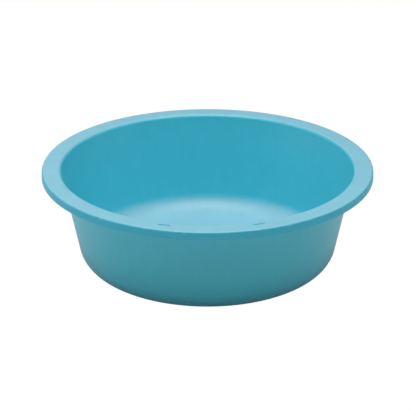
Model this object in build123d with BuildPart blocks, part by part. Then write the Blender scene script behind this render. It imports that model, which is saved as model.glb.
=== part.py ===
from build123d import *

import os
from math import degrees, radians, tan

# Round wash bowl, injection moulded in one piece from polypropylene. Millimetres, +Z up.
# The origin is the middle of the circle that the foot stands on, and the front faces -Y.

# Driving dimensions
rim_diameter = 330.0  # across the lower edge of the turned-down lip
overall_height = 102.8  # from the ground to the top of the rim
wall_thickness = 1.8  # the same all over, so that the moulding cools evenly

rim_width = 19.1  # from the mouth to the outside of the lip
rim_edge_radius = 2.2  # the rounding where the rim turns down into the lip
lip_height = 7.8
lip_draft = 2.0  # degrees from the vertical
lip_edge_radius = 0.7

mouth_edge_radius = 4.0  # the rounding where the rim turns down into the side
flare_draft = 13.6  # degrees from the vertical, above the bend in the side
flare_height = 62.0  # from the ground to the bend in the side
flare_bend_radius = 400.0
side_draft = 11.5  # degrees from the vertical, below the bend
floor_corner_radius = 21.8  # inside, between the side and the floor

foot_height = 1.2
foot_width = 2.2
foot_inset = 8.0  # from the edge of the flat base in to the middle of the foot
foot_edge_radius = 0.4
foot_root_radius = 0.6

mark_length = 12.0  # two blank sunk panels in the top of the rim, at the front
mark_width = 2.6
mark_depth = 0.5
mark_spacing = 33.0  # degrees between the middles of the two panels
mark_offset = 7.4  # from the mouth out to the middle line of the panels

gate_recess_radius = 5.0  # the sunk disc under the floor where the plastic was let in
gate_recess_depth = 0.5
gate_stub_radius = 1.4
gate_stub_height = 0.3

# Sizes and places that follow from the driving dimensions
rim_radius = rim_diameter / 2
mouth_radius = rim_radius - rim_width
floor_top = foot_height + wall_thickness
flare_radius = mouth_radius - (overall_height - flare_height) * tan(radians(flare_draft))
floor_radius = flare_radius - (flare_height - floor_top) * tan(radians(side_draft))
flat_radius = floor_radius - floor_corner_radius * tan(radians(90 - side_draft) / 2)
foot_radius = flat_radius - foot_inset
mark_radius = mouth_radius + mark_offset
mark_arc = degrees((mark_length - mark_width) / mark_radius)
front = -90.0  # degrees about +Z


def radius_of(edge):
    """How far a circle about the bowl's axis lies from the axis."""
    return edge.bounding_box().max.X


with BuildPart() as bowl:
    # The wall is one line, the top and inner surface, given its thickness on the underside
    # and turned about the axis. The lip ends in a rounded edge.
    with BuildSketch(Plane.XZ) as wall_section:
        with BuildLine():
            inner_line = FilletPolyline(
                (0, floor_top),
                (floor_radius, floor_top),
                (flare_radius, flare_height),
                (mouth_radius, overall_height),
                (rim_radius - lip_height * tan(radians(lip_draft)), overall_height),
                (rim_radius, overall_height - lip_height),
                radius=[
                    floor_corner_radius,
                    flare_bend_radius,
                    mouth_edge_radius,
                    rim_edge_radius,
                ],
            )
            offset(inner_line, amount=wall_thickness, side=Side.RIGHT)
        make_face()
        wall_ends = wall_section.edges().filter_by(
            lambda edge: abs(edge.length - wall_thickness) < 0.01
        )
        fillet(wall_ends.sort_by(Axis.X)[-1].vertices(), lip_edge_radius)
    revolve(axis=Axis.Z)

    # The foot is a low ring under the flat base, with its lower edges and its roots rounded.
    with BuildSketch(Plane.XZ) as foot_section:
        with Locations((foot_radius, foot_height / 2)):
            Rectangle(foot_width, foot_height)
        fillet(foot_section.vertices().group_by(Axis.Y)[0], foot_edge_radius)
    revolve(axis=Axis.Z)
    foot_roots = bowl.edges().filter_by_position(Axis.Z, foot_height, foot_height).filter_by(
        lambda edge: abs(radius_of(edge) - foot_radius) < foot_width
    )
    fillet(foot_roots, foot_root_radius)

    # The two sunk panels follow the curve of the rim, one each side of the front.
    with BuildSketch(Plane.XY.offset(overall_height)) as marks:
        for side in (-1, 1):
            middle = front + side * mark_spacing / 2
            with BuildLine(mode=Mode.PRIVATE) as mark_line:
                CenterArc((0, 0), mark_radius, middle - mark_arc / 2, mark_arc)
            SlotArc(mark_line.edge(), mark_width)
    extrude(amount=-mark_depth, mode=Mode.SUBTRACT)

    # The gate is where the plastic was let in: a shallow disc with a broken-off stub in it.
    with BuildSketch(Plane.XY.offset(foot_height)):
        Circle(gate_recess_radius)
    extrude(amount=gate_recess_depth, mode=Mode.SUBTRACT)
    with BuildSketch(Plane.XY.offset(foot_height + gate_recess_depth)):
        Circle(gate_stub_radius)
    extrude(amount=-gate_stub_height)

bowl.part.label = "bowl"

os.makedirs("parts", exist_ok=True)
export_step(bowl.part, "parts/bowl.step")
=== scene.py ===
from math import atan2, cos, hypot, pi, radians, sin, tan

import bmesh
import bpy
from mathutils import Matrix, Vector


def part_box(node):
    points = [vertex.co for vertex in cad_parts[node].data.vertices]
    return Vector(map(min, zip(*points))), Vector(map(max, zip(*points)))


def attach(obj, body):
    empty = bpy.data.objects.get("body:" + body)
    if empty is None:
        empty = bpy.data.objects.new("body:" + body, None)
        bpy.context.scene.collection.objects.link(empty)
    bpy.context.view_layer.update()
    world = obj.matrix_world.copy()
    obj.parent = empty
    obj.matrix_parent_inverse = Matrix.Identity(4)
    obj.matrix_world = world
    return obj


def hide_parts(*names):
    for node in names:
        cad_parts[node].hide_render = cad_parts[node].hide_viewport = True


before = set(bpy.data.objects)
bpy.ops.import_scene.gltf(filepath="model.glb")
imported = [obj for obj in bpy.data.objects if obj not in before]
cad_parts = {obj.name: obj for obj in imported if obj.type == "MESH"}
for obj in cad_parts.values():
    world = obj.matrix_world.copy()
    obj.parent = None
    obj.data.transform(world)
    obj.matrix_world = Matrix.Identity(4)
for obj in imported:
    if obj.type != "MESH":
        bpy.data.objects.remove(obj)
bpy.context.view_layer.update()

# ---- The bowl ----------------------------------------------------------------------------
# A round wash bowl in teal polypropylene, moulded in one shot and the same thickness all
# over. Its section is drawn here from the middle of the floor, up the inside, over the rim
# and back down the outside to the gate, and is then turned about the axis.

low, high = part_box("bowl")
rim_radius = (high.x - low.x) / 2
rim_top = high.z
wall = 0.0018

rim_width = 0.0191
rim_edge_radius = 0.0022
lip_height = 0.0078
lip_draft = 2.0
lip_edge_radius = 0.0007

mouth_edge_radius = 0.004
flare_draft = 13.6
flare_height = 0.062
flare_bend_radius = 0.4
side_draft = 11.5
floor_corner_radius = 0.0218

foot_height = 0.0012
foot_width = 0.0022
foot_inset = 0.008
foot_edge_radius = 0.0004
foot_root_radius = 0.0006

gate_recess_radius = 0.005
gate_recess_depth = 0.0005
gate_stub_radius = 0.0014
gate_stub_height = 0.0003

mark_length = 0.012
mark_width = 0.0026
mark_depth = 0.0005
mark_spacing = 33.0
mark_offset = 0.0074

section = bmesh.new()
tip = None


def straight(x, z):
    """Draws the section on to a point."""
    global tip
    if tip is None:
        tip = section.verts.new()
    else:
        tip = bmesh.ops.extrude_vert_indiv(section, verts=[tip])["verts"][0]
    tip.co = (x, 0, z)


def bend(x, z, radius, start, end, steps):
    """Draws the section on to an arc and round it. Bearings are in degrees clockwise from up."""
    global tip
    straight(x + radius * sin(radians(start)), z + radius * cos(radians(start)))
    centre = (x, 0, z)
    turn = radians(end - start)
    arc = bmesh.ops.spin(
        section, geom=[tip], cent=centre, axis=(0, 1, 0), angle=turn, steps=steps
    )
    tip = arc["geom_last"][0]


def half_turn_tangent(turn):
    """How long the tangent of an arc of radius 1 is, for a turn in degrees."""
    return tan(radians(turn) / 2)


# Inside: the floor, the corner, the side with its slight bend, and the mouth edge.
mouth_radius = rim_radius - rim_width
floor_top = foot_height + wall
flare_radius = mouth_radius - (rim_top - flare_height) * tan(radians(flare_draft))
floor_radius = flare_radius - (flare_height - floor_top) * tan(radians(side_draft))
corner_x = floor_radius - floor_corner_radius * half_turn_tangent(90 - side_draft)
corner_z = floor_top + floor_corner_radius
below_bend = flare_bend_radius * half_turn_tangent(flare_draft - side_draft)
side_slope = radians(side_draft)
flare_x = flare_radius - below_bend * sin(side_slope) + flare_bend_radius * cos(side_slope)
flare_z = flare_height - below_bend * cos(side_slope) - flare_bend_radius * sin(side_slope)
mouth_x = mouth_radius + mouth_edge_radius * half_turn_tangent(90 - flare_draft)
mouth_z = rim_top - mouth_edge_radius
straight(0, floor_top)
bend(corner_x, corner_z, floor_corner_radius, 180, 90 + side_draft, 20)
bend(flare_x, flare_z, flare_bend_radius, 270 + side_draft, 270 + flare_draft, 4)
bend(mouth_x, mouth_z, mouth_edge_radius, 270 + flare_draft, 360, 12)

# The flat of the rim, with a ring at each side of the band that the marks are sunk in,
# and the turned-down lip with its rounded lower edge.
mark_radius = mouth_radius + mark_offset
lip_slope = radians(lip_draft)
edge_x = rim_radius - lip_height * tan(lip_slope)
edge_x -= rim_edge_radius * half_turn_tangent(90 - lip_draft)
edge_z = rim_top - rim_edge_radius
lip_end = Vector((rim_radius, 0, rim_top - lip_height))
lip_up = Vector((-sin(lip_slope), 0, cos(lip_slope)))
lip_inward = Vector((-cos(lip_slope), 0, -sin(lip_slope)))
outer_round = lip_end + lip_edge_radius * (lip_up + lip_inward)
inner_round = lip_end + lip_edge_radius * lip_up + (wall - lip_edge_radius) * lip_inward
straight(mark_radius - mark_width / 2, rim_top)
straight(mark_radius + mark_width / 2, rim_top)
bend(edge_x, edge_z, rim_edge_radius, 0, 90 - lip_draft, 10)
bend(outer_round.x, outer_round.z, lip_edge_radius, 90 - lip_draft, 180 - lip_draft, 4)
bend(inner_round.x, inner_round.z, lip_edge_radius, 180 - lip_draft, 270 - lip_draft, 4)

# Back under the rim and down the outside.
bend(edge_x, edge_z, rim_edge_radius - wall, 90 - lip_draft, 0, 3)
bend(mouth_x, mouth_z, mouth_edge_radius - wall, 360, 270 + flare_draft, 8)
bend(flare_x, flare_z, flare_bend_radius - wall, 270 + flare_draft, 270 + side_draft, 4)
bend(corner_x, corner_z, floor_corner_radius + wall, 90 + side_draft, 180, 20)

# Underneath: the foot ring, and the gate in the middle with its broken-off stub.
foot_radius = corner_x - foot_inset
root_x = foot_width / 2 + foot_root_radius
root_z = foot_height - foot_root_radius
toe_x = foot_width / 2 - foot_edge_radius
bend(foot_radius + root_x, root_z, foot_root_radius, 0, -90, 3)
bend(foot_radius + toe_x, foot_edge_radius, foot_edge_radius, 90, 180, 3)
bend(foot_radius - toe_x, foot_edge_radius, foot_edge_radius, 180, 270, 3)
bend(foot_radius - root_x, root_z, foot_root_radius, 90, 0, 3)
gate_top = foot_height + gate_recess_depth
straight(gate_recess_radius, foot_height)
straight(gate_recess_radius, gate_top)
straight(gate_stub_radius, gate_top)
straight(gate_stub_radius, gate_top - gate_stub_height)
straight(0, gate_top - gate_stub_height)

# One turn of the section. The joints between its segments lie half a segment off the front.
segment = radians(1.5)
merge_distance = 1e-6
bmesh.ops.rotate(
    section, verts=section.verts, cent=(0, 0, 0), matrix=Matrix.Rotation(segment / 2, 3, "Z")
)
bmesh.ops.spin(
    section,
    geom=section.verts[:] + section.edges[:],
    cent=(0, 0, 0),
    axis=(0, 0, 1),
    angle=2 * pi,
    steps=round(2 * pi / segment),
    use_merge=True,
)
bmesh.ops.remove_doubles(section, verts=section.verts, dist=merge_distance)
bmesh.ops.recalc_face_normals(section, faces=section.faces)

# Two blank sunk panels in the rim, one each side of the front. The bevel rounds their ends.
nearly_level = 0.9
end_radius = mark_width * 0.48
for side in (-1, 1):
    panel = []
    for face in section.faces:
        middle = face.calc_center_median()
        round_from_front = atan2(middle.x, -middle.y) - side * radians(mark_spacing) / 2
        on_top = face.normal.z > nearly_level and middle.z > rim_top - wall / 2
        in_band = abs(hypot(middle.x, middle.y) - mark_radius) < mark_width / 2
        if on_top and in_band and abs(round_from_front) * mark_radius < mark_length / 2:
            panel.append(face)
    sunk = bmesh.ops.extrude_face_region(section, geom=panel)["geom"]
    bmesh.ops.delete(section, geom=panel, context="FACES")
    floor_verts = [part for part in sunk if isinstance(part, bmesh.types.BMVert)]
    bmesh.ops.translate(section, verts=floor_verts, vec=(0, 0, -mark_depth))
    corners = []
    for vert in floor_verts:
        for rising in vert.link_edges:
            upright = abs(rising.verts[0].co.z - rising.verts[1].co.z) > mark_depth / 2
            if upright and rising.calc_face_angle(0) > pi / 4:
                corners.append(rising)
    bmesh.ops.bevel(
        section,
        geom=corners,
        offset=end_radius,
        segments=5,
        profile=0.5,
        affect="EDGES",
        material=-1,
    )

# Only the panels' and the gate's edges are sharp. Everything else is shaded smooth.
sharp_angle = radians(35)
for face in section.faces:
    face.smooth = True
for edge in section.edges:
    edge.smooth = edge.calc_face_angle(0) < sharp_angle
shell_mesh = bpy.data.meshes.new("bowl_shell")
section.to_mesh(shell_mesh)
section.free()
bowl_shell = bpy.data.objects.new("bowl_shell", shell_mesh)
bpy.context.scene.collection.objects.link(bowl_shell)
even_shading = bowl_shell.modifiers.new("even_shading", "WEIGHTED_NORMAL")
even_shading.weight = 100
even_shading.keep_sharp = True

# Teal polypropylene out of a finely eroded mould: satin, and painted paler where it faces up,
# as painted light from above. Faint flow lines run out from the gate, over the floor and up
# the side, and the foot and the outer edge of the rim are rubbed a little.
polypropylene = bpy.data.materials.new("polypropylene")
polypropylene.use_nodes = True
nodes = polypropylene.node_tree.nodes
links = polypropylene.node_tree.links
plastic = nodes["Principled BSDF"]
plastic.inputs["Specular IOR Level"].default_value = 0.5
plastic.inputs["IOR"].default_value = 1.5


def connect(value, socket):
    """Sets a socket to a constant, or links a node's output to it."""
    if isinstance(value, bpy.types.NodeSocket):
        links.new(value, socket)
    else:
        socket.default_value = value


def calculate(operation, first, second=0.0):
    """Adds a sum on two numbers, each a number or the output of a node."""
    node = nodes.new("ShaderNodeMath")
    node.operation = operation
    connect(first, node.inputs[0])
    connect(second, node.inputs[1])
    return node.outputs[0]


def map_range(value, lowest, highest, first, last):
    """Adds a soft change from one value to another, as a node's value goes up a range."""
    node = nodes.new("ShaderNodeMapRange")
    node.interpolation_type = "SMOOTHSTEP"
    connect(value, node.inputs["Value"])
    connect(lowest, node.inputs["From Min"])
    connect(highest, node.inputs["From Max"])
    connect(first, node.inputs["To Min"])
    connect(last, node.inputs["To Max"])
    return node.outputs["Result"]


def vector_sum(operation, first, second=(0, 0, 0)):
    """Adds a sum on one or two vectors, and returns its node."""
    node = nodes.new("ShaderNodeVectorMath")
    node.operation = operation
    connect(first, node.inputs[0])
    connect(second, node.inputs[1])
    return node


def split(vector):
    """Adds a node that gives a vector's three parts by name."""
    node = nodes.new("ShaderNodeSeparateXYZ")
    connect(vector, node.inputs[0])
    return node.outputs


def noise(vector, scale, detail):
    """Adds cloudy noise read at a vector, so many lumps to the metre, about 0.5."""
    node = nodes.new("ShaderNodeTexNoise")
    connect(vector, node.inputs["Vector"])
    connect(scale, node.inputs["Scale"])
    connect(detail, node.inputs["Detail"])
    return node.outputs["Fac"]


def blend_colours(amount, first, second):
    """Adds a mix of two colours, by a number from a node."""
    node = nodes.new("ShaderNodeMix")
    node.data_type = "RGBA"
    connect(amount, node.inputs["Factor"])
    connect(first, node.inputs[6])
    connect(second, node.inputs[7])
    return node.outputs[2]


coordinates = nodes.new("ShaderNodeTexCoord").outputs
place = coordinates["Object"]
height = split(place)["Z"]
facing_up = split(coordinates["Normal"])["Z"]
from_axis = vector_sum("MULTIPLY", place, (1, 1, 0)).outputs[0]
radius = vector_sum("LENGTH", from_axis).outputs["Value"]

# Painted light: a place is painted paler the further it faces up, as light from above would
# make it. The floor's wide corner turns pale early, and the rim's edges late.
mid_side = 0.05
below_rim = 0.09
tilt_starts = map_range(height, mid_side, below_rim, 0.19, 0.62)
tilt_ends = map_range(height, mid_side, below_rim, 0.69, 0.95)
painted_top_light = map_range(facing_up, tilt_starts, tilt_ends, 0.0, 1.0)

# The deep colour of the sides, deeper still on the lip as painted shade, and the pale one of
# the floor and rim, which is painted light.
deep_side = (0.080, 0.632, 0.788, 1)
# Painted shade: the lip is painted a deeper teal than the sides.
painted_shade_lip = (0.046, 0.560, 0.765, 1)
on_lip = map_range(radius, rim_radius - 0.004, rim_radius - 0.002, 0.0, 1.0)
deep_teal = blend_colours(on_lip, deep_side, painted_shade_lip)
painted_lit_floor = (0.333, 0.678, 0.794, 1)
painted_lit_rim = (0.320, 0.719, 0.888, 1)
painted_lit_teal = blend_colours(map_range(height, 0.03, 0.08, 0.0, 1.0), painted_lit_floor, painted_lit_rim)

# Painted shade in the two sunk panels: the painted light is left off them, so they keep most
# of the deep colour.
off_middle = calculate("ABSOLUTE", calculate("SUBTRACT", radius, mark_radius))
in_panel = map_range(off_middle, mark_width * 0.50, mark_width * 0.58, 1.0, 0.0)
below_top = map_range(height, rim_top - 0.0004, rim_top - 0.0001, 1.0, 0.0)
above_underside = map_range(height, rim_top - 0.0012, rim_top - 0.0008, 0.0, 0.65)
painted_panel_shade = calculate("MULTIPLY", calculate("MULTIPLY", in_panel, below_top), above_underside)
painted_top_light = calculate("MULTIPLY", painted_top_light, calculate("SUBTRACT", 1.0, painted_panel_shade))
colour = blend_colours(painted_top_light, deep_teal, painted_lit_teal)

# The flow lines are noise read round the axis, drawn out long from the axis to the rim, and
# faded out at the gate, where they would run together.
bearing = vector_sum("NORMALIZE", from_axis).outputs[0]
lengthwise = vector_sum("MULTIPLY", place, (3, 3, 6)).outputs[0]
flow = noise(vector_sum("ADD", bearing, lengthwise).outputs[0], 11.0, 3.0)
away_from_gate = map_range(radius, gate_recess_radius - 0.001, 0.03, 0.0, 1.0)
flow_lines = calculate("MULTIPLY", calculate("SUBTRACT", flow, 0.5), away_from_gate)

# Brightness goes up and down a little with the flow, with wide clouds and with fine specks.
clouds = noise(place, 12.0, 2.0)
specks = noise(place, 700.0, 2.0)
cloud_tone = calculate("MULTIPLY", calculate("SUBTRACT", clouds, 0.5), 0.07)
speck_tone = calculate("MULTIPLY", calculate("SUBTRACT", specks, 0.5), 0.05)
tone = calculate("ADD", calculate("MULTIPLY", flow_lines, 0.10), 1.0)
tone = calculate("ADD", calculate("ADD", tone, cloud_tone), speck_tone)
toned = nodes.new("ShaderNodeHueSaturation")
connect(tone, toned.inputs["Value"])
connect(colour, toned.inputs["Color"])

# Rubbed patches on the foot's lower edge and along the outer edge of the rim.
rubbed_foot = map_range(height, 0.0002, 0.0009, 1.0, 0.0)
at_edge = map_range(radius, rim_radius - 0.0022, rim_radius - 0.0008, 0.0, 1.0)
near_top = map_range(height, rim_top - 0.0030, rim_top - 0.0012, 0.0, 1.0)
rubbed_rim = calculate("MULTIPLY", at_edge, near_top)
rubbed = calculate("MAXIMUM", rubbed_foot, rubbed_rim)
patchy = map_range(noise(place, 90.0, 5.0), 0.50, 0.75, 0.0, 0.40)
worn = calculate("MULTIPLY", rubbed, patchy)
scuffed_teal = (0.340, 0.720, 0.830, 1)
connect(blend_colours(worn, toned.outputs["Color"], scuffed_teal), plastic.inputs["Base Color"])

# The gloss is a little uneven, duller where it is rubbed and along the flow lines.
uneven = calculate("MULTIPLY", calculate("ADD", clouds, specks), 0.06)
roughness = calculate("ADD", uneven, 0.32)
roughness = calculate("ADD", roughness, calculate("MULTIPLY", flow_lines, 0.10))
roughness = calculate("ADD", roughness, calculate("MULTIPLY", worn, 0.20))
connect(roughness, plastic.inputs["Roughness"])

# The mould's eroded grain, a few hundredths of a millimetre deep, and the ripple of the flow.
grain_depth = 0.00003
ripple_depth = 0.0002
grain = nodes.new("ShaderNodeBump")
grain.inputs["Strength"].default_value = 0.25
grain.inputs["Distance"].default_value = grain_depth
connect(noise(place, 2600.0, 2.0), grain.inputs["Height"])
ripple = nodes.new("ShaderNodeBump")
ripple.inputs["Strength"].default_value = 0.20
ripple.inputs["Distance"].default_value = ripple_depth
connect(flow_lines, ripple.inputs["Height"])
connect(grain.outputs["Normal"], ripple.inputs["Normal"])
connect(ripple.outputs["Normal"], plastic.inputs["Normal"])

bowl_shell.data.materials.append(polypropylene)
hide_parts("bowl")
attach(bowl_shell, "root")

# ---- The floor ---------------------------------------------------------------------------
# A plain pale floor, like the paper sweep of a studio. The camera sees it as white. To the
# bowl it is darker close by, a painted shadow where the bowl keeps the light off it, and in the
# bowl's reflections it glows as painted light, dimmer close by.

under_bowl = 0.10
clear_of_bowl = 0.22
mirror_clear = 0.18
floor_mesh = bpy.data.meshes.new("studio_floor")
sheet = bmesh.new()
bmesh.ops.create_grid(sheet, x_segments=1, y_segments=1, size=4)
sheet.to_mesh(floor_mesh)
sheet.free()
studio_floor = bpy.data.objects.new("studio_floor", floor_mesh)
bpy.context.scene.collection.objects.link(studio_floor)
paper = bpy.data.materials.new("paper")
paper.use_nodes = True
nodes = paper.node_tree.nodes
links = paper.node_tree.links
floor_place = nodes.new("ShaderNodeTexCoord").outputs["Object"]
distance = vector_sum("LENGTH", floor_place).outputs["Value"]
matt = nodes["Principled BSDF"]
paleness = map_range(distance, under_bowl, clear_of_bowl, 0.30, 0.90)
connect(paleness, matt.inputs["Base Color"])
matt.inputs["Roughness"].default_value = 0.9
matt.inputs["Specular IOR Level"].default_value = 0.0
# Painted light: to glossy rays the floor glows, dimmer close to the bowl.
painted_glow = nodes.new("ShaderNodeEmission")
connect(map_range(distance, under_bowl, mirror_clear, 0.12, 0.73), painted_glow.inputs["Strength"])
white = nodes.new("ShaderNodeEmission")
seen = nodes.new("ShaderNodeLightPath")
mirrored = nodes.new("ShaderNodeMixShader")
either = nodes.new("ShaderNodeMixShader")
connect(seen.outputs["Is Glossy Ray"], mirrored.inputs[0])
connect(matt.outputs[0], mirrored.inputs[1])
connect(painted_glow.outputs[0], mirrored.inputs[2])
connect(seen.outputs["Is Camera Ray"], either.inputs[0])
connect(mirrored.outputs[0], either.inputs[1])
connect(white.outputs[0], either.inputs[2])
connect(either.outputs[0], nodes["Material Output"].inputs["Surface"])
studio_floor.data.materials.append(paper)

# ---- The light ---------------------------------------------------------------------------
# Large soft lights, strongest overhead, with weaker ones in front, at the sides and behind.
# They all face the middle of the bowl.

aim = Vector((0, 0, 0.06))


def soft_light(name, azimuth, elevation, distance, width, height, power):
    """Hangs a flat soft light at an angle from the front, facing the bowl."""
    lamp = bpy.data.lights.new(name, "AREA")
    lamp.shape = "RECTANGLE"
    lamp.size = width
    lamp.size_y = height
    lamp.energy = power
    turn = radians(azimuth)
    rise = radians(elevation)
    away = Vector((sin(turn) * cos(rise), -cos(turn) * cos(rise), sin(rise)))
    hung = bpy.data.objects.new(name, lamp)
    hung.location = aim + distance * away
    hung.rotation_euler = away.to_track_quat("Z", "Y").to_euler()
    hung.visible_camera = False
    bpy.context.scene.collection.objects.link(hung)


soft_light("overhead", 0, 90, 1.6, 1.4, 1.4, 10.9)
soft_light("high_front", 0, 78, 1.7, 1.6, 0.8, 10.1)
soft_light("front", 0, 60, 1.8, 1.6, 0.8, 3.9)
soft_light("left", -90, 25, 1.8, 1.6, 1.2, 5.8)
soft_light("right", 90, 25, 1.8, 1.6, 1.2, 3.5)
soft_light("behind_left", -140, 12, 2.2, 2.6, 1.3, 6.0)

# Behind everything the camera sees white, which lights nothing.
studio = bpy.data.worlds.new("studio")
bpy.context.scene.world = studio
studio.use_nodes = True
nodes = studio.node_tree.nodes
links = studio.node_tree.links
unlit = nodes["Background"]
unlit.inputs["Strength"].default_value = 0.0
white = nodes.new("ShaderNodeBackground")
white.inputs["Color"].default_value = (1, 1, 1, 1)
seen = nodes.new("ShaderNodeLightPath")
either = nodes.new("ShaderNodeMixShader")
connect(seen.outputs["Is Camera Ray"], either.inputs[0])
connect(unlit.outputs[0], either.inputs[1])
connect(white.outputs[0], either.inputs[2])
connect(either.outputs[0], nodes["World Output"].inputs["Surface"])
bpy.context.scene.view_settings.view_transform = "Standard"

# ---- The camera --------------------------------------------------------------------------
# A long lens looking down into the bowl from in front, turned a little off its front. It dips
# a little below the middle of the rim, so that the whole bowl is in the middle of the picture.

camera_data = bpy.data.cameras.new("camera")
camera_data.sensor_width = 36
camera_data.lens = 147.69
camera = bpy.data.objects.new("camera", camera_data)
bpy.context.scene.collection.objects.link(camera)
camera_distance = 1.6974
camera_rise = radians(21.847)
camera_turn = radians(-1.35)
camera_dip = radians(23.275)
away = Vector((0, -cos(camera_rise), sin(camera_rise)))
away.rotate(Matrix.Rotation(camera_turn, 3, "Z"))
camera.location = Vector((0, 0, rim_top)) + camera_distance * away
camera.rotation_euler = (pi / 2 - camera_dip, 0, camera_turn)
bpy.context.scene.camera = camera
